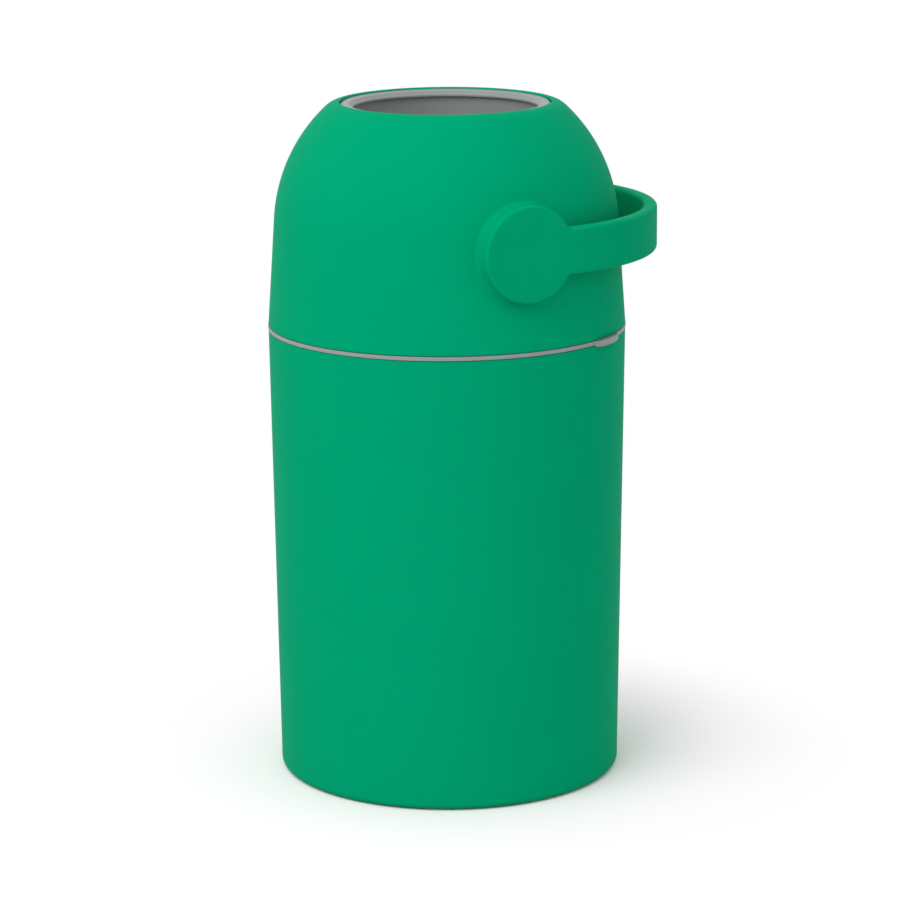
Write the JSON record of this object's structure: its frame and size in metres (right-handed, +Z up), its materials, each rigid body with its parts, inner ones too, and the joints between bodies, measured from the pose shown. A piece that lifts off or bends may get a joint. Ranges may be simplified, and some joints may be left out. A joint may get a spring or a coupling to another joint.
{
  "type": "nappy bin",
  "caption": "Tall round nappy bin: tapered tub, lift-off bag ring, domed lid, and a bail handle that flips a ball drum with an open chute and a sliding piston.",
  "frame": {"origin": "centre of the base, on the surface that the bin stands on", "axes": "+Z up along the tub's axis, +X along the handle's hinge axis towards the hub that the picture shows, +Y towards the back, where the handle's grip lies at rest"},
  "size_m": [0.2636, 0.2764, 0.4795],
  "materials": {
    "green_plastic": "smooth matt moulded plastic",
    "grey_plastic": "smooth satin moulded plastic",
    "rubber": "soft matt rubber",
    "acetal": "waxy natural acetal",
    "steel": "zinc plated"
  },
  "bodies": {
    "bin_body": {"tub": "green_plastic", "non_slip_base": "rubber"},
    "bag_ring": {"bag_ring": "grey_plastic"},
    "lid": {"lid_shell": "green_plastic", "lid_base_plate": "grey_plastic", "lid_gasket": "rubber", "mouth_wiper": "rubber", "base_wiper": "rubber", "base_plate_screws": "steel", "hub_bushes": "acetal"},
    "drum": {"drum_upper_shell": "grey_plastic", "drum_lower_shell": "grey_plastic", "chute_sleeve": "grey_plastic", "drum_screws": "steel", "drive_hubs": "acetal", "hub_washers": "steel", "hub_screws": "steel", "handle": "green_plastic"},
    "piston": {"piston_body": "grey_plastic", "piston_cap": "grey_plastic", "piston_weight": "steel", "piston_seals": "rubber", "piston_screws": "steel"}
  },
  "joints": [
    {"name": "bag_ring_lift", "type": "slide", "parent": "bin_body", "child": "bag_ring", "axis": [0, 0, 1], "range_m": [0, 0.12]},
    {"name": "lid_lift", "type": "slide", "parent": "bag_ring", "child": "lid", "axis": [0, 0, 1], "range_m": [0, 0.2]},
    {"name": "handle_flip", "type": "hinge", "parent": "lid", "child": "drum", "pos_m": [0, 0, 0.3905], "axis": [1, 0, 0], "range_deg": [0, 180]},
    {"name": "piston_slide", "type": "slide", "parent": "drum", "child": "piston", "axis": [0, 0, 1], "range_m": [0, 0.1046]}
  ]
}
